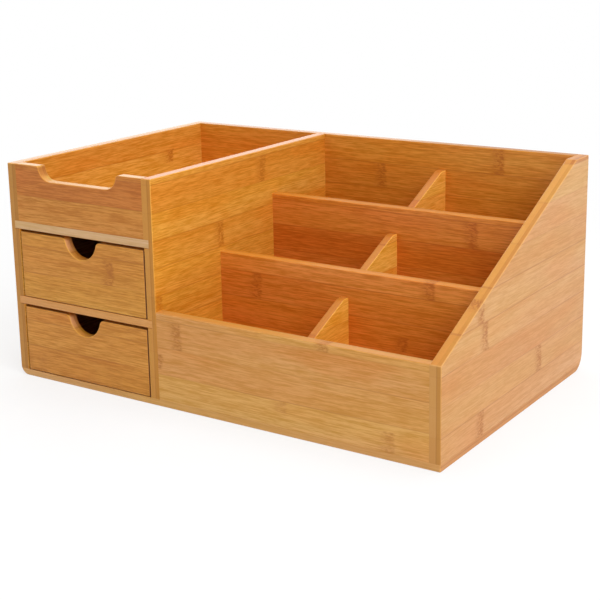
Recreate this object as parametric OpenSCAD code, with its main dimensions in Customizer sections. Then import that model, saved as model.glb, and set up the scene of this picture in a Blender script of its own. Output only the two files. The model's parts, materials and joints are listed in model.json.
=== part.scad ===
// Open-topped desk organizer of glued bamboo panels.
// An open tray over two drawers stands on the left, and six open cells under a sloping side on the right.
// The front faces -Y. The origin is the middle of the footprint, on the surface that the organizer stands on.

/* [Cabinet] */
// Overall width, left to right
cabinet_w = 330; // [300:1:400]
// Overall depth, front to back
cabinet_d = 210; // [195:1:260]
// Overall height, at the back and on the left
cabinet_h = 150; // [140:1:200]
// Thickness of the side panels and of the divider panel
side_t = 7.5; // [6:0.5:10]
// Thickness of the back panel
back_t = 7; // [6:0.5:10]
// Thickness of the base plate
base_t = 4.5; // [3:0.5:8]
// Radius of the rounded lower left edge
left_edge_r = 6.5; // [5:0.5:7.5]
// Radius of the rounded lower back edge
back_edge_r = 12; // [8:0.5:14]

/* [Drawer bays] */
// Clear width of a drawer bay, between the left panel and the divider panel
bay_w = 110; // [90:1:140]
// Clear height of a drawer bay
bay_h = 47.5; // [40:0.5:55]
// Thickness of the shelf between the drawers and of the tray floor
shelf_t = 5.5; // [4:0.5:8]
// Depth of the grooves in the panels that hold the shelf ends
housing_depth = 4; // [2:0.5:5]

/* [Tray] */
// Thickness of the tray front
tray_front_t = 7; // [5:0.5:10]
// Width of the level floor of the notch in the tray front
tray_notch_flat_w = 48; // [20:1:60]
// Radius of the notch ends, which is also the depth of the notch
tray_notch_r = 10; // [6:0.5:15]
// Radius of the rounded lips where the notch meets the top edge
tray_lip_r = 2; // [1:0.5:4]

/* [Cells] */
// Thickness of the low front panel
front_panel_t = 7; // [5:0.5:10]
// Height of the front panel and of the low end of the sloping side
front_panel_h = 63.5; // [55:0.5:80]
// Length of the level stretch at the rear of the sloping side
level_top_l = 21; // [10:1:40]
// Thickness of the two cross walls
cross_wall_t = 7; // [5:0.5:10]
// Clear depth of the front row of cells
front_row_d = 63; // [50:1:75]
// Clear depth of the middle row of cells
middle_row_d = 56; // [45:1:70]
// Height that each cross wall stays below the sloping edge
cross_wall_drop = 7; // [3:0.5:12]
// Thickness of the small dividers
small_divider_t = 5.5; // [4:0.5:8]
// Height that the sloping tops of the small dividers stay below the sloping edge
small_divider_drop = 22.5; // [15:0.5:30]
// Length of the level stretch at the top of each small divider
small_divider_level_l = 5; // [3:0.5:12]

/* [Drawers] */
// Thickness of a drawer front
drawer_front_t = 7; // [5:0.5:10]
// Thickness of a drawer's sides and back
drawer_side_t = 5; // [4:0.5:7]
// Thickness of a drawer bottom
drawer_bottom_t = 3; // [2:0.5:4]
// Height of a drawer bottom above the lower edges of the drawer
drawer_bottom_lift = 2.5; // [1.5:0.5:5]
// Depth of the grooves that hold a drawer bottom
drawer_groove_depth = 2; // [1:0.5:3]
// Height that a drawer's sides and back stay below the top of its front
drawer_rim_drop = 3; // [1:0.5:10]
// Gap on each side of a drawer
drawer_side_gap = 0.8; // [0.5:0.1:1.5]
// Gap over a drawer
drawer_top_gap = 1.5; // [1:0.1:2.5]
// Running gap under a drawer
drawer_running_gap = 0.3; // [0.2:0.1:0.5]
// Gap between a shut drawer and the back panel
drawer_back_gap = 0.5; // [0.3:0.1:2]
// Radius of the round finger notch in a drawer front, which is also its depth
finger_notch_r = 13.5; // [10:0.5:16]
// Radius of the rounded lips where the finger notch meets the top edge
finger_lip_r = 4; // [2:0.5:6]

/* [Hidden] */

$fn = 96;
// Reach of a cutting shape past the face that it cuts
cut = 1;

panel_colour = [0.86, 0.62, 0.36];
inner_colour = [0.80, 0.52, 0.25];
edge_colour = [0.80, 0.64, 0.42];
drawer_colour = [0.78, 0.54, 0.27];
drawer_box_colour = [0.88, 0.70, 0.46];

left_x = -cabinet_w / 2;
right_x = cabinet_w / 2;
front_y = -cabinet_d / 2;
back_y = cabinet_d / 2;
bay_x = left_x + side_t;
divider_x = bay_x + bay_w;
cells_x = divider_x + side_t;
cells_end_x = right_x - side_t;
inner_back_y = back_y - back_t;

shelf_z = base_t + bay_h;
upper_bay_z = shelf_z + shelf_t;
tray_floor_z = upper_bay_z + bay_h;
tray_z = tray_floor_z + shelf_t;

front_cells_y = front_y + front_panel_t;
front_wall_y = front_cells_y + front_row_d;
middle_cells_y = front_wall_y + cross_wall_t;
rear_wall_y = middle_cells_y + middle_row_d;
rear_cells_y = rear_wall_y + cross_wall_t;

level_y = back_y - level_top_l;
slope = (cabinet_h - front_panel_h) / (level_y - front_y);
small_divider_x = (cells_x + cells_end_x - small_divider_t) / 2;

drawer_x = bay_x + drawer_side_gap;
drawer_end_x = divider_x - drawer_side_gap;
drawer_inner_x = drawer_x + drawer_side_t;
drawer_inner_end_x = drawer_end_x - drawer_side_t;
drawer_box_y = front_y + drawer_front_t;
drawer_end_y = inner_back_y - drawer_back_gap;
drawer_back_y = drawer_end_y - drawer_side_t;
bay_centre_x = bay_x + bay_w / 2;

// Height of the sloping edge of the right panel at a given depth
function slope_z(y) = front_panel_h + slope * (y - front_y);
// Lower edge and upper edges of a drawer whose bay floor is at bay_z
function drawer_z(bay_z) = bay_z + drawer_running_gap;
function drawer_top_z(bay_z) = bay_z + bay_h - drawer_top_gap;
function drawer_rim_z(bay_z) = drawer_top_z(bay_z) - drawer_rim_drop;

// A box from its lowest corner to its highest corner
module block(low, high) {
    translate(low) cube(high - low);
}

// Extrudes an outline drawn in Y and Z from x0 to x1
module along_x(x0, x1) {
    translate([x0, 0, 0]) rotate([90, 0, 90]) linear_extrude(x1 - x0) children();
}

// Extrudes an outline drawn in X and Z from y0 to y1
module along_y(y0, y1) {
    translate([0, y1, 0]) rotate([90, 0, 0]) linear_extrude(y1 - y0) children();
}

// What a rounded corner at the outline's origin takes away, with the solid towards +X and +Y
module corner_waste(r) {
    difference() {
        translate([-cut, -cut]) square(r + cut);
        translate([r, r]) circle(r);
    }
}

// Takes the rounded lower left and lower back edges off an outer piece of the cabinet
module with_lower_rounds() {
    difference() {
        children();
        along_y(front_y - cut, back_y + cut) translate([left_x, 0]) corner_waste(left_edge_r);
        along_x(left_x - cut, right_x + cut) translate([back_y, 0]) mirror([1, 0]) corner_waste(back_edge_r);
    }
}

// A notch below the line y = 0, with a level floor, round ends of radius r and rounded lips
module notch_outline(flat_w, r, lip_r) {
    lip_x = sqrt(pow(r + lip_r, 2) - pow(lip_r, 2));
    if (flat_w > 0) translate([-flat_w / 2, -r]) square([flat_w, r + cut]);
    for (side = [0, 1]) mirror([side, 0]) translate([flat_w / 2, 0]) {
        circle(r);
        difference() {
            polygon([[0, 0], [0, cut], [lip_x, cut], [lip_x, -lip_r]]);
            translate([lip_x, -lip_r]) circle(lip_r);
        }
    }
}

// The two grooves between x0 and x1 that hold the shelf ends, open at the front
module shelf_housings(x0, x1) {
    for (z = [shelf_z, tray_floor_z])
        block([x0, front_y - cut, z], [x1, inner_back_y, z + shelf_t]);
}

module base_plate() {
    color(edge_colour) with_lower_rounds()
        block([left_x, front_y, 0], [right_x, back_y, base_t]);
}

module left_panel() {
    color(panel_colour) difference() {
        with_lower_rounds() block([left_x, front_y, base_t], [bay_x, back_y, cabinet_h]);
        shelf_housings(bay_x - housing_depth, bay_x + cut);
    }
}

module divider_panel() {
    color(inner_colour) difference() {
        block([divider_x, front_y, base_t], [cells_x, inner_back_y, cabinet_h]);
        shelf_housings(divider_x - cut, divider_x + housing_depth);
    }
}

module right_panel() {
    color(panel_colour) with_lower_rounds() along_x(cells_end_x, right_x) polygon([
        [front_y, base_t], [back_y, base_t], [back_y, cabinet_h],
        [level_y, cabinet_h], [front_y, front_panel_h]
    ]);
}

module back_panel() {
    color(inner_colour) with_lower_rounds()
        block([bay_x, inner_back_y, base_t], [cells_end_x, back_y, cabinet_h]);
}

// A shelf whose ends sit in the grooves of the left panel and the divider panel
module shelf(z) {
    color(edge_colour)
        block([bay_x - housing_depth, front_y, z], [divider_x + housing_depth, inner_back_y, z + shelf_t]);
}

module tray_floor() {
    shelf(tray_floor_z);
}

module drawer_shelf() {
    shelf(shelf_z);
}

module tray_front() {
    color(drawer_colour) along_y(front_y, front_y + tray_front_t) difference() {
        translate([bay_x, tray_z]) square([bay_w, cabinet_h - tray_z]);
        translate([bay_centre_x, cabinet_h]) notch_outline(tray_notch_flat_w, tray_notch_r, tray_lip_r);
    }
}

module front_panel() {
    color(panel_colour)
        block([cells_x, front_y, base_t], [cells_end_x, front_cells_y, front_panel_h]);
}

// A wall across the cells that stays below the sloping edge
module cross_wall(y) {
    color(inner_colour)
        block([cells_x, y, base_t], [cells_end_x, y + cross_wall_t, slope_z(y) - cross_wall_drop]);
}

module front_cross_wall() {
    cross_wall(front_wall_y);
}

module rear_cross_wall() {
    cross_wall(rear_wall_y);
}

// An upright divider from y0 to y1 whose top runs along the slope, then level up to the wall behind it
module small_divider(y0, y1) {
    level_start_y = y1 - small_divider_level_l;
    level_z = slope_z(level_start_y) - small_divider_drop;
    color(panel_colour) along_x(small_divider_x, small_divider_x + small_divider_t) polygon([
        [y0, base_t], [y1, base_t], [y1, level_z],
        [level_start_y, level_z], [y0, slope_z(y0) - small_divider_drop]
    ]);
}

module front_small_divider() {
    small_divider(front_cells_y, front_wall_y);
}

module middle_small_divider() {
    small_divider(middle_cells_y, rear_wall_y);
}

module rear_small_divider() {
    small_divider(rear_cells_y, inner_back_y);
}

// The drawer bottom, which also cuts its own grooves in the pieces round it
module drawer_bottom(bay_z) {
    z = drawer_z(bay_z) + drawer_bottom_lift;
    color(drawer_box_colour) block(
        [drawer_inner_x - drawer_groove_depth, drawer_box_y - drawer_groove_depth, z],
        [drawer_inner_end_x + drawer_groove_depth, drawer_back_y + drawer_groove_depth, z + drawer_bottom_t]
    );
}

module drawer_front(bay_z) {
    z = drawer_z(bay_z);
    top_z = drawer_top_z(bay_z);
    color(drawer_colour) difference() {
        along_y(front_y, drawer_box_y) difference() {
            translate([drawer_x, z]) square([drawer_end_x - drawer_x, top_z - z]);
            translate([bay_centre_x, top_z]) notch_outline(0, finger_notch_r, finger_lip_r);
        }
        drawer_bottom(bay_z);
    }
}

// One side of a drawer, from x0 to x1
module drawer_side(bay_z, x0, x1) {
    color(drawer_box_colour) difference() {
        block([x0, drawer_box_y, drawer_z(bay_z)], [x1, drawer_end_y, drawer_rim_z(bay_z)]);
        drawer_bottom(bay_z);
    }
}

module drawer_left_side(bay_z) {
    drawer_side(bay_z, drawer_x, drawer_inner_x);
}

module drawer_right_side(bay_z) {
    drawer_side(bay_z, drawer_inner_end_x, drawer_end_x);
}

module drawer_back(bay_z) {
    color(drawer_box_colour) difference() {
        block(
            [drawer_inner_x, drawer_back_y, drawer_z(bay_z)],
            [drawer_inner_end_x, drawer_end_y, drawer_rim_z(bay_z)]
        );
        drawer_bottom(bay_z);
    }
}

base_plate();
left_panel();
divider_panel();
right_panel();
back_panel();
tray_floor();
drawer_shelf();
tray_front();
front_panel();
front_cross_wall();
rear_cross_wall();
front_small_divider();
middle_small_divider();
rear_small_divider();
drawer_front(upper_bay_z);  // upper_drawer_front
drawer_left_side(upper_bay_z);  // upper_drawer_left_side
drawer_right_side(upper_bay_z);  // upper_drawer_right_side
drawer_back(upper_bay_z);  // upper_drawer_back
drawer_bottom(upper_bay_z);  // upper_drawer_bottom
drawer_front(base_t);  // lower_drawer_front
drawer_left_side(base_t);  // lower_drawer_left_side
drawer_right_side(base_t);  // lower_drawer_right_side
drawer_back(base_t);  // lower_drawer_back
drawer_bottom(base_t);  // lower_drawer_bottom
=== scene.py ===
"""Looks of an open-topped bamboo desk organizer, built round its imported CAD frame.

Every board is planed from the outline of its CAD node, gets rounded arrises, and is finished in a
bamboo that is worked out through the whole thickness of the board, so faces, edges and end grain agree.
"""
import json
import math
from typing import NamedTuple

import bmesh
import bpy
from bpy.props import FloatProperty, FloatVectorProperty, IntProperty, PointerProperty
from mathutils import Matrix, Vector


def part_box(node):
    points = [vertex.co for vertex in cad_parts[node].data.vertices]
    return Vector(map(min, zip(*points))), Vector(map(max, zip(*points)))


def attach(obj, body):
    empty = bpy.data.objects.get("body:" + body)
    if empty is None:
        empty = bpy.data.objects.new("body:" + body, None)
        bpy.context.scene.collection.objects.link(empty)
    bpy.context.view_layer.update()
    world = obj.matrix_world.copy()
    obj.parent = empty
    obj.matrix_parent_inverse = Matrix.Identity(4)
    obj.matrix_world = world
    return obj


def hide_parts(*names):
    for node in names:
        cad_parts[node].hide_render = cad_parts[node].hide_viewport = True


bl_info = {
    "name": "Bamboo Desk Organizer",
    "version": (1, 0, 0),
    "blender": (4, 5, 0),
    "location": "3D View > Sidebar > Organizer",
    "description": "Dresses an open-topped bamboo desk organizer with a tray, two drawers and six cells",
    "category": "Object",
}

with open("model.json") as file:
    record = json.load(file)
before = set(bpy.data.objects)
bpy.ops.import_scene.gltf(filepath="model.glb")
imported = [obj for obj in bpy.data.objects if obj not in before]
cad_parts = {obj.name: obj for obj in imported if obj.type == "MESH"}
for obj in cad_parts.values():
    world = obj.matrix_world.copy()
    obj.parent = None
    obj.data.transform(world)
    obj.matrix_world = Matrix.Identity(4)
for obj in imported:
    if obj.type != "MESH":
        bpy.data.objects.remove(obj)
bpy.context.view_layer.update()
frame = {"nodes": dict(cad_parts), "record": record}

MM = 0.001
X, Y, Z = 0, 1, 2
BODY_OF = {node: body for body, nodes in frame["record"]["behaviour"]["bodies"].items() for node in nodes}
SLOT_OF = {node: piece.material_slots[0].material.name for node, piece in frame["nodes"].items()}
BOX_OF = {node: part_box(node) for node in frame["nodes"]}


def shade(red, green, blue):
    """Turns screen levels from 0 to 255 into the linear colour that Blender works in."""
    levels = (red / 255, green / 255, blue / 255)
    return tuple(v / 12.92 if v <= 0.04045 else ((v + 0.055) / 1.055) ** 2.4 for v in levels)


# Settings


class OrganizerShape(bpy.types.PropertyGroup):
    """Sizes of the small forms that the boards get on top of the CAD."""

    arris: FloatProperty(
        name="Arris", description="Radius of an edge that a hand can reach",
        default=0.65 * MM, min=0.1 * MM, max=2 * MM, unit="LENGTH", subtype="DISTANCE")
    joint_arris: FloatProperty(
        name="Joint arris", description="Radius of an edge that is glued against another board",
        default=0.15 * MM, min=0.05 * MM, max=1 * MM, unit="LENGTH", subtype="DISTANCE")
    apex_round: FloatProperty(
        name="Apex rounding", description="Set-back of the rounded corner on top of each small divider",
        default=1.4 * MM, min=0.5 * MM, max=4 * MM, unit="LENGTH", subtype="DISTANCE")
    arris_steps: IntProperty(
        name="Arris steps", description="Facets across one rounded edge", default=3, min=1, max=6)


class OrganizerBamboo(bpy.types.PropertyGroup):
    """Tone of the bamboo in each group of boards, and how lively its grain is."""

    outer_panel_bamboo: FloatVectorProperty(
        name="Outer panels", description="Side panels and low front panel",
        default=shade(201, 152, 74), size=3, min=0, max=1, subtype="COLOR")
    inner_panel_bamboo: FloatVectorProperty(
        name="Inner panels", description="Divider panel and back panel",
        default=shade(214, 152, 51), size=3, min=0, max=1, subtype="COLOR")
    shelf_bamboo: FloatVectorProperty(
        name="Shelves", description="Base plate, drawer shelf and tray floor",
        default=shade(208, 150, 78), size=3, min=0, max=1, subtype="COLOR")
    cross_wall_bamboo: FloatVectorProperty(
        name="Cross walls", description="The two walls across the cells",
        default=shade(218, 139, 48), size=3, min=0, max=1, subtype="COLOR")
    small_divider_bamboo: FloatVectorProperty(
        name="Small dividers", description="The three dividers between the cells",
        default=shade(237, 182, 75), size=3, min=0, max=1, subtype="COLOR")
    drawer_front_bamboo: FloatVectorProperty(
        name="Drawer and tray fronts", description="Boards that close the left bays at the front",
        default=shade(199, 140, 48), size=3, min=0, max=1, subtype="COLOR")
    drawer_box_bamboo: FloatVectorProperty(
        name="Drawer boxes", description="Sides, backs and bottoms of the drawers",
        default=shade(214, 166, 100), size=3, min=0, max=1, subtype="COLOR")
    strip_width: FloatProperty(
        name="Strip width", description="Width of one bamboo strip in a board",
        default=18.2 * MM, min=8 * MM, max=40 * MM, unit="LENGTH", subtype="DISTANCE")
    streaks: FloatProperty(
        name="Streaks", description="How far the fibres differ in tone",
        default=1.0, min=0, max=2, subtype="FACTOR")
    relief: FloatProperty(
        name="Relief", description="Height of the fibres under the varnish",
        default=0.06 * MM, min=0, max=0.5 * MM, unit="LENGTH", subtype="DISTANCE")
    gloss_roughness: FloatProperty(
        name="Varnish roughness", description="Roughness of the satin varnish on a clean face",
        default=0.36, min=0.1, max=0.9, subtype="FACTOR")


class OrganizerStage(bpy.types.PropertyGroup):
    """Floor, lamps and camera."""

    floor_radius: FloatProperty(
        name="Floor radius", description="Radius of the round floor",
        default=9.0, min=1, max=30, unit="LENGTH", subtype="DISTANCE")
    backdrop_light: FloatProperty(
        name="Backdrop light", description="Strength of the light that comes back from the white backdrop",
        default=0.7, min=0, max=1, subtype="FACTOR")
    room_light: FloatProperty(
        name="Room light", description="Strength of the light from the camera's side of the room",
        default=0.3, min=0, max=1, subtype="FACTOR")
    key_power: FloatProperty(
        name="Key lamp", description="Power of the large soft lamp over the right front",
        default=25.0, min=0, max=200, unit="POWER")
    fill_power: FloatProperty(
        name="Fill lamp", description="Power of the soft lamp at the left front",
        default=3.0, min=0, max=200, unit="POWER")
    top_power: FloatProperty(
        name="Top lamp", description="Power of the soft lamp overhead",
        default=12.0, min=0, max=200, unit="POWER")
    rim_power: FloatProperty(
        name="Rim lamp", description="Power of the low lamp behind, which draws a sheen on level edges",
        default=8.5, min=0, max=200, unit="POWER")
    lens: FloatProperty(
        name="Lens", description="Focal length of the camera in millimetres",
        default=78.92, min=20, max=300, unit="CAMERA")


# Shader maths


class Signal:
    """A node's output that plain arithmetic works on: each operation adds one Math node."""

    def __init__(self, bench, socket):
        self.bench = bench
        self.socket = socket

    def math(self, operation, *values):
        return self.bench.node("ShaderNodeMath", {"operation": operation}, dict(enumerate(values)))

    def __add__(self, other):
        return self.math("ADD", self, other)

    def __radd__(self, other):
        return self.math("ADD", other, self)

    def __sub__(self, other):
        return self.math("SUBTRACT", self, other)

    def __rsub__(self, other):
        return self.math("SUBTRACT", other, self)

    def __mul__(self, other):
        return self.math("MULTIPLY", self, other)

    def __rmul__(self, other):
        return self.math("MULTIPLY", other, self)

    def __truediv__(self, other):
        return self.math("DIVIDE", self, other)

    def __rtruediv__(self, other):
        return self.math("DIVIDE", other, self)

    def __gt__(self, other):
        return self.math("GREATER_THAN", self, other)

    def __abs__(self):
        return self.math("ABSOLUTE", self)

    def least(self, other):
        return self.math("MINIMUM", self, other)

    def most(self, other):
        return self.math("MAXIMUM", self, other)

    def floor(self):
        return self.math("FLOOR", self)

    def wrap(self, low, high):
        """Starts again at low each time that it reaches high."""
        return self.math("WRAP", self, high, low)

    def rise(self, low, high, to_low=0.0, to_high=1.0):
        """Eases from to_low at low to to_high at high, and stays there outside."""
        settings = {"interpolation_type": "SMOOTHSTEP"}
        values = {"Value": self, "From Min": low, "From Max": high, "To Min": to_low, "To Max": to_high}
        return self.bench.node("ShaderNodeMapRange", settings, values)

    def fall(self, low, high):
        """Eases from one at low to nought at high."""
        return self.rise(low, high, to_low=1.0, to_high=0.0)


class Bench:
    """The node tree of one material or world, with one method that adds any node."""

    def __init__(self, tree):
        self.tree = tree
        tree.nodes.clear()

    def node(self, kind, settings=None, sockets=None, output=0):
        """Adds a node: its settings first, then the values or links of its sockets."""
        made = self.tree.nodes.new(kind)
        for name, value in (settings or {}).items():
            setattr(made, name, value)
        for name, value in (sockets or {}).items():
            if isinstance(value, Signal):
                self.tree.links.new(value.socket, made.inputs[name])
            else:
                made.inputs[name].default_value = value
        return Signal(self, made.outputs[output]) if made.outputs else None

    def coordinates(self, kind):
        return self.node("ShaderNodeTexCoord", output=kind)

    def part(self, vector, axis):
        return self.node("ShaderNodeSeparateXYZ", None, {0: vector}, output=axis)

    def noise(self, place, scale, detail, roughness):
        """Noise with about as many waves in each metre along the three axes as the scale says."""
        stretched = self.node("ShaderNodeVectorMath", {"operation": "MULTIPLY"}, {0: place, 1: scale})
        return self.node("ShaderNodeTexNoise", {"noise_dimensions": "3D"}, {
            "Vector": stretched, "Scale": 1.0, "Detail": detail, "Roughness": roughness})

    def draw(self, number):
        """The same draw from 0 to 1 each time for the same number."""
        return self.node("ShaderNodeTexWhiteNoise", {"noise_dimensions": "1D"}, {"W": number})

    def mix(self, factor, first, second, blend="MIX"):
        """Mixes two colours, each a signal or its red, green and blue, through a Mix node."""
        first, second = (c if isinstance(c, Signal) else (*c, 1.0) for c in (first, second))
        settings = {"data_type": "RGBA", "blend_type": blend}
        return self.node("ShaderNodeMix", settings, {0: factor, 6: first, 7: second}, output=2)

    def glaze(self, strength, colour, glaze):
        """Lays a clear glaze over a colour, which scales it by the glaze's own colour."""
        return self.mix(strength, colour, glaze, "MULTIPLY")

    def bsdf(self, sockets):
        return self.node("ShaderNodeBsdfPrincipled", None, sockets)


def tinted(colour, tint):
    """The colour with its red, green and blue scaled by the tint's, none of them past one."""
    return tuple(min(part * scale, 1.0) for part, scale in zip(colour, tint))


def start_material(name):
    """A new material, and the bench that its nodes are made on."""
    material = bpy.data.materials.new(name)
    material.use_nodes = True
    return material, Bench(material.node_tree)


def place_object(scene, name, data):
    """A new object in the scene that holds the given mesh, lamp or camera."""
    body = bpy.data.objects.new(name, data)
    scene.collection.objects.link(body)
    return body


# Boards


class Ring(NamedTuple):
    """A growth ring: its place along the grain, the two edges of its strip, and how dark it is."""

    place: float
    low: float
    high: float
    dark: float = 1.0


class Board(NamedTuple):
    """A board: its CAD node, its grain, its strips, the growth rings seen on it, and its tints.

    The strips count from strips_from, and their tones are drawn from the numbered lot, or from the
    length of the name where there is no lot. A board without a list of rings gets them at seeded
    places. The tint scales the tone of the board's group, edge scales it again on the narrow long
    sides, end on the end grain, and low and high on the two broad faces. Streaks is how lively the
    fibres are; the wear setting is how pale the arrises are, partly really worn and partly a painted
    highlight; and the gap setting is how dark a painted shade makes the outer edges just behind the
    front face, where the gap round the board lies in shade.
    """

    node: str
    grain: int
    strips_from: float = 0.0
    lot: int = 0
    rings: tuple = ()
    tint: tuple = (1.0, 1.0, 1.0)
    edge: tuple = (0.92, 0.84, 0.7)
    end: tuple = (0.82, 0.76, 0.92)
    low: tuple = (1.0, 1.0, 1.0)
    high: tuple = (1.0, 1.0, 1.0)
    streaks: float = 1.0
    wear: float = 1.0
    gap: float = 0.0


def axes_of(board):
    """The three axes along the grain, across the strips and through the thickness."""
    low, high = BOX_OF[board.node]
    others = [axis for axis in (X, Y, Z) if axis != board.grain]
    others.sort(key=lambda axis: low[axis] - high[axis])
    return board.grain, others[0], others[1]


# Planing

CONTACT = 0.05 * MM
CAD_WELD = 0.005 * MM
SLIVER_WELD = 0.02 * MM
APEX_REACH = 0.1 * MM
FLAT_ANGLE = math.radians(0.8)
SHARP_ANGLE = math.radians(20)
# Least cosines between normals: a flat that leads a rounded face, and rounded faces that blend
LEADING_COSINE = 0.8
BLENDING_COSINE = 0.4
APEX_STEPS = 8
JOINT_STEPS = 2
REACHED, GLUED = 1, 2


def glued(node, edge):
    """True where the middle of an edge lies against another board of the same body."""
    point = (edge.verts[0].co + edge.verts[1].co) / 2
    for other, (low, high) in BOX_OF.items():
        if other == node or BODY_OF[other] != BODY_OF[node]:
            continue
        if all(low[a] - CONTACT < point[a] < high[a] + CONTACT for a in (X, Y, Z)):
            return True
    return False


def sharp_edges(work, rounding):
    """The edges where two flat faces meet at a corner that is still sharp."""
    return [edge for edge in work.edges
            if edge.is_manifold and edge.calc_face_angle(0.0) > SHARP_ANGLE
            and not any(face[rounding] for face in edge.link_faces)]


def apex_edges(work, node):
    """The edge of a small divider where its slope meets the level stretch at its top."""
    high = BOX_OF[node][1]
    return [edge for edge in work.edges
            if all(vertex.co.z > high[Z] - APEX_REACH for vertex in edge.verts)
            and abs(edge.verts[0].co.y - edge.verts[1].co.y) < APEX_REACH
            and edge.verts[0].co.y < high[Y] - APEX_REACH]


def round_edges(work, edges, radius, steps, rounding=None, mark=REACHED):
    """Rounds the given edges, and marks the new faces where a layer is given."""
    if not edges:
        return
    made = bmesh.ops.bevel(
        work, geom=edges, offset=radius, offset_type="OFFSET", segments=steps, profile=0.5,
        affect="EDGES", clamp_overlap=True, loop_slide=True)["faces"]
    if rounding:
        for face in made:
            face[rounding] = mark


def corner_normals(work, rounding):
    """Normals that keep flat faces flat and run each rounded edge smoothly into the flats beside it."""
    normals = []
    for face in work.faces:
        for vertex in face.verts:
            leader = face
            if face[rounding]:
                flats = [near for near in vertex.link_faces
                         if not near[rounding] and near.normal.dot(face.normal) > LEADING_COSINE]
                leader = max(flats, key=lambda flat: flat.normal.dot(face.normal), default=face)
            least = BLENDING_COSINE if leader[rounding] else math.cos(SHARP_ANGLE)
            normal = Vector()
            for near in vertex.link_faces:
                if bool(near[rounding]) == bool(leader[rounding]) and near.normal.dot(leader.normal) > least:
                    normal += near.normal * (1 if leader[rounding] else near.calc_area())
            normals.append(normal.normalized())
    return normals


def cad_outline(node):
    """The outline of a CAD node as a mesh to work on, with each of its flat faces whole."""
    work = bmesh.new()
    cad = frame["nodes"][node].data
    corners = [work.verts.new(vertex.co) for vertex in cad.vertices]
    for polygon in cad.polygons:
        work.faces.new([corners[i] for i in polygon.vertices])
    bmesh.ops.remove_doubles(work, verts=work.verts, dist=CAD_WELD)
    bmesh.ops.dissolve_limit(work, angle_limit=FLAT_ANGLE, verts=work.verts, edges=work.edges)
    return work


def planed_mesh(board, shape):
    """The board's mesh: the outline of its CAD node, with its apex and arrises rounded."""
    work = cad_outline(board.node)
    if "small_divider" in board.node:
        round_edges(work, apex_edges(work, board.node), shape.apex_round, APEX_STEPS)
    rounding = work.faces.layers.int.new("rounding")
    reached = [edge for edge in sharp_edges(work, rounding) if not glued(board.node, edge)]
    round_edges(work, reached, shape.arris, shape.arris_steps, rounding, REACHED)
    hidden = [edge for edge in sharp_edges(work, rounding) if glued(board.node, edge)]
    round_edges(work, hidden, shape.joint_arris, JOINT_STEPS, rounding, GLUED)
    bmesh.ops.remove_doubles(work, verts=work.verts, dist=SLIVER_WELD)
    bmesh.ops.recalc_face_normals(work, faces=work.faces)
    wear = work.verts.layers.float.new("arris")
    for vertex in work.verts:
        vertex[wear] = float(all(face[rounding] == REACHED for face in vertex.link_faces))
    normals = corner_normals(work, rounding)
    work.faces.layers.int.remove(rounding)
    mesh = bpy.data.meshes.new("bamboo_" + board.node)
    work.to_mesh(mesh)
    work.free()
    mesh.shade_smooth()
    mesh.normals_split_custom_set(normals)
    return mesh


# Bamboo

# Colours that scale the tone of a board
PALE_FIBRE = (1.23, 1.35, 2.25)
DARK_FIBRE = (0.89, 0.8, 0.4)
RING_BROWN = (0.7, 0.46, 0.27)
# Pale arrises: partly really worn, partly a painted highlight where the rounded edges catch the light
ARRIS_WEAR_AND_HIGHLIGHT = (1.25, 1.26, 1.5)
# Painted shade for the gap that runs round a drawer front
GAP_PAINTED_SHADE = (0.12, 0.08, 0.06)

# Colours that scale what lies under them
ROSY = (1.01, 0.975, 1.05)
GREENISH = (1.0, 1.005, 0.9)
TAWNY_BAND = (0.95, 0.8, 0.48)
DARK_STRIP = (0.88, 0.66, 0.42)
AMBER_CLOUD = (1.0, 0.8, 0.5)
DARK_PLY = (0.84, 0.76, 0.42)

# Colours that scale the tone of the end grain
END_PORE = (0.95, 0.86, 0.7)
END_DARK_PLY = (0.86, 0.76, 0.48)
END_GLUE = (0.6, 0.45, 0.28)

# How strongly each of these is laid on, where one hides all that lies under it
RING_STRENGTH = 0.95
SEAM_STRENGTH = 0.55
END_STRENGTH = 0.8
PORE_STRENGTH = 0.4
END_PLY_STRENGTH = 0.8
GLUE_STRENGTH = 0.5

# How far the grain leaves a straight line, for the seams, the fibres and the rings
SEAM_SWAY = 1.6 * MM
FIBRE_SWAY = 2.2 * MM
RING_SWAY = 6 * MM
RING_FRAY = 5 * MM

# Cosines over which a surface turns from a side into a broad face, into an end, and from looking down
FACE_TURN = (0.4, 0.9)
END_TURN = (0.6, 0.95)
DOWN_TURN = (-0.6, -0.1)

# Distances over which these come in or fade: before and after a ring, off the glue line, behind the
# front face for the painted gap shade, and towards the outline
RING_RISE = (-11 * MM, -1 * MM)
RING_FALL = (0.5 * MM, 3 * MM)
GLUE_FADE = (0.15 * MM, 0.5 * MM)
GAP_SHADE_FADE = (0.8 * MM, 2.6 * MM)
RIM_RISE = (-1.0 * MM, -0.3 * MM)

# Boards thicker than this are made of two plies, and their glue line lies off the middle
ONE_PLY_THICKNESS = 6 * MM
GLUE_LINE_OFFSET = 0.8 * MM

# Steps from strip to strip and ply to ply through the patterns and the draws
STRIP_STEP = 0.37
PLY_STEP = 0.05
PLY_LOT = 32
LOT_SIZE = 100
RING_SPACING = 0.31
RING_STRIP_SEED = 3.7
RING_BOARD_SEED = 1.31


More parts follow.
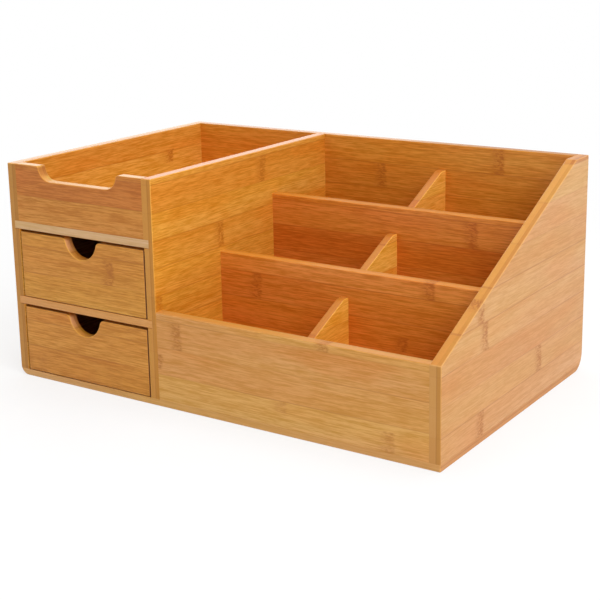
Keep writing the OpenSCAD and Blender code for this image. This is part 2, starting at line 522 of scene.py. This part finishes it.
class Bamboo:
    """The finish of one board while it is mixed: where a point lies, and the patterns of its fibres."""

    def __init__(self, bench, board, settings):
        self.bench = bench
        self.board = board
        self.settings = settings
        self.tone = tinted(getattr(settings, SLOT_OF[board.node]), board.tint)
        self.grain, self.wide, self.thin = axes_of(board)
        self.low, self.high = BOX_OF[board.node]
        self.place = bench.coordinates("Object")
        self.normal = bench.coordinates("Normal")
        self.find_faces()
        self.find_strips()
        self.find_plies()
        self.find_fibres()

    def pattern(self, place, along, across, through=0.0, detail=2.0, roughness=0.5):
        """Noise with so many waves in each metre along the grain, across it and through the board."""
        scale = [across] * 3
        scale[self.grain] = along
        scale[self.thin] = through or across
        return self.bench.noise(place, scale, detail, roughness)

    def toned(self, tint):
        return tinted(self.tone, tint)

    def find_faces(self):
        """Side is one on the narrow sides and the ends, and end is one on the ends alone."""
        self.facing_up = self.bench.part(self.normal, Z)
        self.side = abs(self.bench.part(self.normal, self.thin)).fall(*FACE_TURN)
        self.end = abs(self.bench.part(self.normal, self.grain)).rise(*END_TURN)

    def find_strips(self):
        """Strips counts the strips across the board, and strip is the number of the one at a point."""
        self.sway = self.pattern(self.place, along=9.0, across=25.0, detail=1.0) - 0.5
        self.across = self.bench.part(self.place, self.wide) + self.sway * SEAM_SWAY
        self.strips = (self.across - self.board.strips_from) / self.settings.strip_width
        self.strip = self.strips.floor()

    def find_plies(self):
        """Ply is nought in the lower ply and one in the upper, and a thin board has only the lower."""
        low, high = self.low[self.thin], self.high[self.thin]
        self.depth = self.bench.part(self.place, self.thin)
        self.glue_line = (low + high) / 2 + GLUE_LINE_OFFSET
        self.ply = self.depth > (self.glue_line if high - low > ONE_PLY_THICKNESS else high)

    def find_fibres(self):
        """Each strip and ply is cut from its own place in one long culm, and streak is its fibres' tone."""
        self.culm = self.bench.node("ShaderNodeVectorMath", {"operation": "ADD"}, {
            0: self.place,
            1: self.bench.node("ShaderNodeCombineXYZ", None, {
                self.grain: self.strip * STRIP_STEP,
                self.wide: self.sway * FIBRE_SWAY,
                self.thin: self.ply * PLY_STEP}),
        })
        self.hair = self.pattern(self.culm, along=75.0, across=1300.0, roughness=0.7)
        self.fibre = self.pattern(self.culm, along=7.0, across=420.0, roughness=0.6)
        self.cloud = self.pattern(self.culm, along=12.0, across=50.0, detail=1.0)
        lines = self.pattern(self.culm, along=12.0, across=12.0, through=700.0)
        fibres = (self.hair * 0.74 + self.fibre * 0.26).rise(0.34, 0.66)
        streak = fibres * (1 - self.side * 0.7) + lines * self.side * 0.7
        self.streak = (streak - 0.5) * (self.settings.streaks * self.board.streaks) + 0.5


def fibre_colour(wood):
    """Pale and dark fibres, with a slow drift of hue and tawny bands along them."""
    colour = wood.bench.mix(wood.streak, wood.toned(DARK_FIBRE), wood.toned(PALE_FIBRE))
    drift = wood.pattern(wood.culm, along=5.0, across=30.0, detail=1.0).rise(0.35, 0.65)
    colour = wood.bench.glaze(1.0, colour, wood.bench.mix(drift, ROSY, GREENISH))
    band = wood.pattern(wood.culm, along=2.6, across=80.0)
    return wood.bench.glaze(band.rise(0.34, 0.66, to_low=0.5, to_high=0.0), colour, TAWNY_BAND)


def strip_tones(wood, colour):
    """Darkens each strip by its own draw, and adds small amber clouds on the broad faces."""
    lot = (wood.board.lot or len(wood.board.node)) * LOT_SIZE
    dark = wood.bench.draw(wood.strip + wood.ply * PLY_LOT + lot)
    colour = wood.bench.glaze(dark, colour, DARK_STRIP)
    cloud = wood.cloud.rise(0.54, 0.7) * (0.4 - wood.side * 0.4)
    return wood.bench.glaze(cloud, colour, AMBER_CLOUD)


def ring_fade(offset):
    """Slow rise to a growth ring from one side, and quick fall on the other."""
    return offset.rise(*RING_RISE) * offset.fall(*RING_FALL)


def listed_rings(wood, along):
    """The growth rings that the board's list gives, each within its own strip."""
    patches = []
    for ring in wood.board.rings:
        outside = abs(wood.across - (ring.low + ring.high) / 2) > (ring.high - ring.low) / 2
        patches.append(ring_fade(along - ring.place) * (1 - outside) * ring.dark)
    return sum(patches[1:], patches[0]).least(1.0)


def seeded_rings(wood, along):
    """A growth ring in each spacing of each strip, at a place that is drawn for the strip."""
    seed = wood.strip * RING_STRIP_SEED + len(wood.board.node) * RING_BOARD_SEED
    shifted = along + wood.bench.draw(seed) * RING_SPACING
    return ring_fade(shifted.wrap(-RING_SPACING / 2, RING_SPACING / 2))


def ring_marks(wood):
    """How dark the growth rings are: short ticks along the fibres that fade out from the ring."""
    along = wood.bench.part(wood.place, wood.grain)
    along = along + wood.sway * RING_SWAY + (wood.fibre - 0.5) * RING_FRAY
    patch = listed_rings(wood, along) if wood.board.rings else seeded_rings(wood, along)
    tick = wood.pattern(wood.place, along=300.0, across=950.0, roughness=0.6)
    return patch * (0.3 + tick.rise(0.42, 0.58) * 0.7)


def strip_seams(wood):
    """How dark the glued seams between the strips are, which are fainter where they are tight."""
    looseness = wood.pattern(wood.place, along=7.0, across=40.0, detail=0.0)
    from_middle = abs(wood.strips - wood.strip - 0.5)
    return from_middle.rise(0.47, 0.49) * looseness.rise(0.36, 0.56, to_low=0.4, to_high=1.0)


def side_tones(wood, colour):
    """Tints the broad faces where they differ, then the narrow sides, whose upper ply is darker."""
    board = wood.board
    if board.low != board.high:
        faces = wood.bench.mix(wood.ply, board.low, board.high)
        colour = wood.bench.glaze(1 - wood.side, colour, faces)
    colour = wood.bench.glaze(wood.side * (1 - wood.end), colour, board.edge)
    return wood.bench.glaze(wood.side * wood.ply * (0.3 + wood.cloud), colour, DARK_PLY)


def end_grain(wood, colour):
    """Lays the end grain over the ends: pores, a darker upper ply and the glue line."""
    bench = wood.bench
    tone = wood.toned(wood.board.end)
    pores = wood.pattern(wood.place, along=2.0, across=1300.0, detail=1.0).rise(0.55, 0.7)
    end = bench.mix(pores * PORE_STRENGTH, tone, tinted(tone, END_PORE))
    end = bench.mix(wood.ply * END_PLY_STRENGTH, end, tinted(tone, END_DARK_PLY))
    glue = 1 - abs(wood.depth - wood.glue_line).rise(*GLUE_FADE)
    end = bench.mix(glue * GLUE_STRENGTH, end, tinted(tone, END_GLUE))
    return bench.mix(wood.end * END_STRENGTH, colour, end)


def outer_rim(wood):
    """One on the outer edges of the board's outline, and nought on its faces and in its notch."""
    inset = []
    for axis in (wood.grain, wood.wide):
        low, high = wood.low[axis], wood.high[axis]
        inset.append(abs(wood.bench.part(wood.place, axis) - (low + high) / 2) - (high - low) / 2)
    return inset[0].most(inset[1]).rise(*RIM_RISE)


def arris_wear_and_highlight(wood):
    """How pale the arrises are, partly really worn and partly a painted highlight, apart from those that
    look down.
    """
    wear = wood.bench.node("ShaderNodeAttribute", {"attribute_name": "arris"}, output="Fac")
    return wear * wood.facing_up.rise(*DOWN_TURN, to_high=wood.board.wear)


def paint_gap_shade(wood, rim, colour):
    """Painted shade: darkens the outer edges just behind the front face, where the gap that runs round the
    board lies in shade.
    """
    behind_front = wood.depth - wood.low[wood.thin]
    dark = behind_front.rise(*GAP_SHADE_FADE, to_low=wood.board.gap, to_high=0.0)
    return wood.bench.mix(rim * wood.side * dark, colour, wood.toned(GAP_PAINTED_SHADE))


def satin_varnish(wood, colour, mark, seam, wear):
    """Satin varnish over the fibres: rings, ends and worn arrises are duller, and the fibres stand proud."""
    roughness = wood.settings.gloss_roughness - wood.streak * 0.05
    roughness = roughness + mark * 0.12 + wood.end * 0.14 + wear * 0.06 + wood.hair * 0.06
    height = wood.hair * 0.5 + wood.fibre * 0.5 - mark * 0.4 - seam * 0.8
    bump = wood.bench.node("ShaderNodeBump", None, {
        "Strength": 0.6, "Distance": wood.settings.relief, "Height": height})
    return wood.bench.bsdf({
        "Base Color": colour, "Roughness": roughness, "Normal": bump,
        "Specular IOR Level": 0.3, "Coat Weight": 0.1, "Coat Roughness": 0.3})


def bamboo_material(board, settings):
    """The bamboo of one board, worked out in three dimensions from its fibres to its varnish."""
    material, bench = start_material("bamboo_" + board.node)
    wood = Bamboo(bench, board, settings)
    mark = ring_marks(wood)
    seam = strip_seams(wood)
    colour = strip_tones(wood, fibre_colour(wood))
    colour = bench.mix(mark * RING_STRENGTH, colour, wood.toned(RING_BROWN))
    colour = bench.mix(seam * SEAM_STRENGTH, colour, wood.toned(RING_BROWN))
    colour = side_tones(wood, colour)
    colour = end_grain(wood, colour)
    wear = arris_wear_and_highlight(wood)
    # Painted shade on the outer edges just behind the front face, where the gap lies in shade; the painted
    # arris highlight is kept off them
    if board.gap:
        rim = outer_rim(wood)
        wear = wear * (1 - rim)
        colour = paint_gap_shade(wood, rim, colour)
    # Paler rounded arrises: partly really worn, partly a painted highlight where the edges catch the light
    colour = bench.mix(wear * (0.35 + wood.fibre * 0.4), colour, wood.toned(ARRIS_WEAR_AND_HIGHLIGHT))
    varnish = satin_varnish(wood, colour, mark, seam, wear)
    bench.node("ShaderNodeOutputMaterial", None, {"Surface": varnish})
    return material


# Pieces


def make_boards(scene, boards):
    """Makes each board, and lets it ride, stand for its CAD node and take its finish."""
    for board in boards:
        mesh = planed_mesh(board, scene.organizer_shape)
        mesh.materials.append(bamboo_material(board, scene.organizer_bamboo))
        piece = place_object(scene, "bamboo_" + board.node, mesh)
        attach(piece, BODY_OF[board.node])
        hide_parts(board.node)


class ORGANIZER_OT_side_panels(bpy.types.Operator):
    """Makes the left panel, the divider panel and the right panel with the sloping edge"""

    bl_idname = "organizer.side_panels"
    bl_label = "Side panels"

    def execute(self, context):
        make_boards(context.scene, (
            Board("left_panel", Y, strips_from=0.0065, lot=587,
                  rings=(Ring(0.0612, 0.1248, 0.1350),
                         Ring(-0.0400, 0.0065, 0.0247),
                         Ring(0.0200, 0.0611, 0.0793)),
                  tint=(1.1, 1.0, 0.56), edge=(0.84, 0.83, 1.0), end=(0.7, 0.65, 1.02),
                  low=(0.91, 1.0, 1.8)),
            Board("divider_panel", Y, strips_from=0.0006, lot=3526,
                  rings=(Ring(0.0182, 0.1280, 0.1462),
                         Ring(-0.0998, 0.0640, 0.0734),
                         Ring(-0.0320, 0.0916, 0.1098)),
                  tint=(1.0, 1.03, 1.1), edge=(0.88, 0.79, 0.56), end=(0.8, 0.76, 1.1)),
            Board("right_panel", Y, strips_from=0.0020, lot=12366,
                  rings=(Ring(-0.0475, 0.0566, 0.0748),
                         Ring(-0.0530, 0.0748, 0.0930),
                         Ring(0.0318, 0.0202, 0.0384),
                         Ring(-0.0522, 0.0020, 0.0202)),
                  tint=(0.98, 0.98, 1.26), edge=(1.01, 0.88, 0.37), end=(0.98, 0.89, 0.76),
                  streaks=0.55),
        ))
        return {"FINISHED"}


class ORGANIZER_OT_back_panel(bpy.types.Operator):
    """Makes the back panel between the side panels"""

    bl_idname = "organizer.back_panel"
    bl_label = "Back panel"

    def execute(self, context):
        make_boards(context.scene, (
            Board("back_panel", X, strips_from=0.0044, lot=2823,
                  rings=(Ring(0.1050, 0.1318, 0.1500),
                         Ring(-0.1120, 0.0772, 0.0954),
                         Ring(0.0100, 0.1136, 0.1318)),
                  tint=(1.0, 0.94, 0.92), edge=(0.78, 0.86, 0.76), high=(0.87, 1.06, 2.2)),
        ))
        return {"FINISHED"}


class ORGANIZER_OT_shelves(bpy.types.Operator):
    """Makes the base plate, the shelf between the drawers and the tray floor"""

    bl_idname = "organizer.shelves"
    bl_label = "Base and shelves"

    def execute(self, context):
        make_boards(context.scene, (
            Board("base_plate", X, strips_from=-0.1110,
                  rings=(Ring(0.0620, -0.0564, -0.0382), Ring(-0.1180, 0.0164, 0.0346)),
                  edge=(0.96, 1.11, 1.11)),
            Board("drawer_shelf", X, strips_from=-0.1110,
                  rings=(Ring(-0.0810, -0.0200, -0.0018),),
                  edge=(1.05, 1.3, 1.68)),
            Board("tray_floor", X, strips_from=-0.1110,
                  rings=(Ring(-0.1210, 0.0164, 0.0346), Ring(-0.0710, -0.0382, -0.0200)),
                  edge=(0.94, 1.24, 1.89)),
        ))
        return {"FINISHED"}


class ORGANIZER_OT_fronts(bpy.types.Operator):
    """Makes the notched tray front and the low front panel"""

    bl_idname = "organizer.fronts"
    bl_label = "Tray front and front panel"

    def execute(self, context):
        make_boards(context.scene, (
            # The pale edge tint is partly a painted highlight: it whitens the level top and the notch floor
            Board("tray_front", X, strips_from=0.1105, lot=15217,
                  rings=(Ring(0.1, 0.1287, 0.1469),),
                  tint=(0.92, 0.83, 0.83), edge=(1.18, 1.68, 2.3), streaks=1.2),
            Board("front_panel", X, strips_from=0.0042, lot=19416,
                  rings=(Ring(-0.0223, 0.0406, 0.0588),
                         Ring(-0.0381, 0.0260, 0.0356),
                         Ring(0.0885, 0.0588, 0.0640),
                         Ring(0.0594, 0.0150, 0.0224, dark=0.5),
                         Ring(0.1346, 0.0042, 0.0180, dark=0.65)),
                  tint=(1.06, 1.09, 1.2), edge=(0.93, 0.84, 0.7), streaks=0.75),
        ))
        return {"FINISHED"}


class ORGANIZER_OT_cross_walls(bpy.types.Operator):
    """Makes the two walls across the cells"""

    bl_idname = "organizer.cross_walls"
    bl_label = "Cross walls"

    def execute(self, context):
        make_boards(context.scene, (
            Board("front_cross_wall", X, strips_from=0.0046, lot=10542,
                  rings=(Ring(-0.0087, 0.0592, 0.0774),
                         Ring(0.1218, 0.0774, 0.0956),
                         Ring(0.1022, 0.0410, 0.0500)),
                  tint=(1.03, 1.08, 1.15), edge=(0.84, 0.9, 0.86)),
            Board("rear_cross_wall", X, strips_from=0.0046, lot=87,
                  rings=(Ring(0.1193, 0.0956, 0.1138),),
                  tint=(0.95, 0.92, 0.88), edge=(0.84, 0.92, 0.9)),
        ))
        return {"FINISHED"}


class ORGANIZER_OT_small_dividers(bpy.types.Operator):
    """Makes the three small dividers between the cells"""

    bl_idname = "organizer.small_dividers"
    bl_label = "Small dividers"

    def execute(self, context):
        starts = {"front": 0.0010, "middle": 0.0040, "rear": 0.0070}
        make_boards(context.scene, [
            Board(row + "_small_divider", Y, strips_from=start,
                  tint=(1.0, 0.95, 0.92), edge=(0.63, 0.43, 0.3), wear=0.3)
            for row, start in starts.items()
        ])
        return {"FINISHED"}


class ORGANIZER_OT_drawers(bpy.types.Operator):
    """Makes both drawers: notched fronts, sides, backs and bottoms"""

    bl_idname = "organizer.drawers"
    bl_label = "Drawers"

    def execute(self, context):
        fronts = {
            "upper": (0.0756, 1474, Ring(-0.0777, 0.0756, 0.0930)),
            "lower": (0.0048, 2231, Ring(-0.1420, 0.0048, 0.0180, dark=0.3)),
        }
        for level, (start, lot, ring) in fronts.items():
            make_boards(context.scene, (
                # The bright end and edge tints paint light into the finger notch, which the shelf above
                # shades, and the gap setting paints shade on the outer edges just behind the front face
                Board(level + "_drawer_front", X, strips_from=start, lot=lot, rings=(ring,),
                      tint=(1.01, 1.06, 0.98), edge=(1.22, 1.35, 2.4), end=(1.6, 1.65, 7.0),
                      streaks=1.1, gap=0.8),
                Board(level + "_drawer_left_side", Y, strips_from=start),
                Board(level + "_drawer_right_side", Y, strips_from=start),
                Board(level + "_drawer_back", X, strips_from=start),
                Board(level + "_drawer_bottom", X, strips_from=-0.1),
            ))
        return {"FINISHED"}


# Stage

WHITE = (1.0, 1.0, 1.0, 1.0)
PICTURE_WHITE = 1.0
# The share of plain white that the floor shows at the object, and the distances over which it shows more
NEAR_WHITE = 0.72
WHITE_RISE = (0.3, 0.9)
PAPER_GRAIN = (60.0, 60.0, 60.0)
FLOOR_SIDES = 96
OBJECT_MIDDLE = (0.0, 0.0, 0.07)
CAMERA_PLACE = (0.4863, -0.7233, 0.3058)
CAMERA_TURN = math.radians(33.825)
CAMERA_TILT = math.radians(-13.671)
CAMERA_ROLL = math.radians(1.010)
CAMERA_SHIFT = -0.1
SENSOR_WIDTH = 36.0
CLIP_START = 0.01


def soft_lamp(scene, name, power, size, place):
    """A large square lamp that faces the middle of the object."""
    lamp = bpy.data.lights.new(name, "AREA")
    lamp.energy = power
    lamp.shape = "SQUARE"
    lamp.size = size
    body = place_object(scene, name, lamp)
    body.location = place
    body.rotation_euler = (Vector(OBJECT_MIDDLE) - Vector(place)).to_track_quat("-Z", "Y").to_euler()


def make_lamps(scene, stage):
    """Four soft lamps: the key at the right front, the fill at the left, one overhead, one behind."""
    soft_lamp(scene, "key_lamp", stage.key_power, size=1.2, place=(1.35, -0.65, 1.35))
    soft_lamp(scene, "fill_lamp", stage.fill_power, size=1.0, place=(-0.9, -1.4, 0.9))
    soft_lamp(scene, "top_lamp", stage.top_power, size=1.2, place=(0.1, 0.2, 1.8))
    soft_lamp(scene, "rim_lamp", stage.rim_power, size=1.4, place=(-1.6, 1.7, 0.6))


def seen_directly(bench):
    """One for rays of the picture, the gloss and clear material, and nought for the light on things."""
    rays = [bench.node("ShaderNodeLightPath", output=name)
            for name in ("Is Camera Ray", "Is Glossy Ray", "Is Transmission Ray")]
    return (rays[0] + rays[1] + rays[2]).least(1.0)


def floor_material():
    """White paper that shows as white in the picture and still takes the object's shadow."""
    material, bench = start_material("white_floor")
    place = bench.coordinates("Object")
    grain = bench.noise(place, PAPER_GRAIN, detail=3.0, roughness=0.5)
    paper = bench.bsdf({
        "Base Color": bench.mix(grain, (0.84, 0.84, 0.84), (0.88, 0.88, 0.88)),
        "Roughness": 0.9, "Specular IOR Level": 0.2})
    glow = bench.node("ShaderNodeEmission", None, {"Color": WHITE, "Strength": PICTURE_WHITE})
    away = bench.node("ShaderNodeVectorMath", {"operation": "LENGTH"}, {0: place}, output="Value")
    share = seen_directly(bench) * away.rise(*WHITE_RISE, to_low=NEAR_WHITE)
    shader = bench.node("ShaderNodeMixShader", None, {0: share, 1: paper, 2: glow})
    bench.node("ShaderNodeOutputMaterial", None, {"Surface": shader})
    return material


def make_floor(scene, radius):
    """A round floor under the object."""
    work = bmesh.new()
    bmesh.ops.create_circle(work, cap_ends=True, segments=FLOOR_SIDES, radius=radius)
    mesh = bpy.data.meshes.new("floor")
    work.to_mesh(mesh)
    work.free()
    mesh.materials.append(floor_material())
    floor = place_object(scene, "floor", mesh)


def make_world(scene, backdrop_light, room_light):
    """White backdrop behind, dimmer room in front; the picture and the gloss see plain white."""
    world = bpy.data.worlds.new("white_surround")
    scene.world = world
    world.use_nodes = True
    bench = Bench(world.node_tree)
    room, backdrop, plain = (
        bench.node("ShaderNodeBackground", None, {"Color": WHITE, "Strength": strength})
        for strength in (room_light, backdrop_light, PICTURE_WHITE))
    behind = bench.part(bench.coordinates("Generated"), Y).rise(-0.5, 0.5)
    light = bench.node("ShaderNodeMixShader", None, {0: behind, 1: room, 2: backdrop})
    both = bench.node("ShaderNodeMixShader", None, {0: seen_directly(bench), 1: light, 2: plain})
    bench.node("ShaderNodeOutputWorld", None, {"Surface": both})


def make_camera(scene, focal_length):
    """The camera at the photograph's viewing angle: turned left, tilted down and rolled a little."""
    lens = bpy.data.cameras.new("camera")
    lens.sensor_width = SENSOR_WIDTH
    lens.lens = focal_length
    lens.shift_y = CAMERA_SHIFT
    lens.clip_start = CLIP_START
    camera = place_object(scene, "camera", lens)
    camera.matrix_world = (
        Matrix.Translation(CAMERA_PLACE)
        @ Matrix.Rotation(CAMERA_TURN, 4, "Z")
        @ Matrix.Rotation(math.pi / 2 + CAMERA_TILT, 4, "X")
        @ Matrix.Rotation(-CAMERA_ROLL, 4, "Z"))
    scene.camera = camera


class ORGANIZER_OT_stage(bpy.types.Operator):
    """Makes the floor, the lamps and the camera"""

    bl_idname = "organizer.stage"
    bl_label = "Stage"

    def execute(self, context):
        scene = context.scene
        stage = scene.organizer_stage
        make_floor(scene, stage.floor_radius)
        make_world(scene, stage.backdrop_light, stage.room_light)
        make_lamps(scene, stage)
        make_camera(scene, stage.lens)
        scene.view_settings.view_transform = "Standard"
        return {"FINISHED"}


# Add-on

OPERATORS = (
    ORGANIZER_OT_side_panels,
    ORGANIZER_OT_back_panel,
    ORGANIZER_OT_shelves,
    ORGANIZER_OT_fronts,
    ORGANIZER_OT_cross_walls,
    ORGANIZER_OT_small_dividers,
    ORGANIZER_OT_drawers,
    ORGANIZER_OT_stage,
)
SETTINGS = {
    "organizer_shape": OrganizerShape,
    "organizer_bamboo": OrganizerBamboo,
    "organizer_stage": OrganizerStage,
}


class ORGANIZER_PT_panel(bpy.types.Panel):
    """Lists the organizer's pieces and settings"""

    bl_idname = "ORGANIZER_PT_panel"
    bl_label = "Bamboo desk organizer"
    bl_space_type = "VIEW_3D"
    bl_region_type = "UI"
    bl_category = "Organizer"

    def draw(self, context):
        for operator in OPERATORS:
            self.layout.operator(operator.bl_idname)
        for name, group in SETTINGS.items():
            box = self.layout.box()
            for setting in group.__annotations__:
                box.prop(getattr(context.scene, name), setting)


CLASSES = (*SETTINGS.values(), *OPERATORS, ORGANIZER_PT_panel)


def register():
    """Registers the classes, and gives each scene its settings."""
    for each in CLASSES:
        bpy.utils.register_class(each)
    for name, group in SETTINGS.items():
        setattr(bpy.types.Scene, name, PointerProperty(type=group))


def unregister():
    """Takes the settings and the classes out again."""
    for name in SETTINGS:
        delattr(bpy.types.Scene, name)
    for each in reversed(CLASSES):
        bpy.utils.unregister_class(each)


def main():
    """Registers the classes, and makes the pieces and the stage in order."""
    register()
    for operator in OPERATORS:
        group, name = operator.bl_idname.split(".")
        getattr(getattr(bpy.ops, group), name)()


if __name__ == "__main__":
    main()
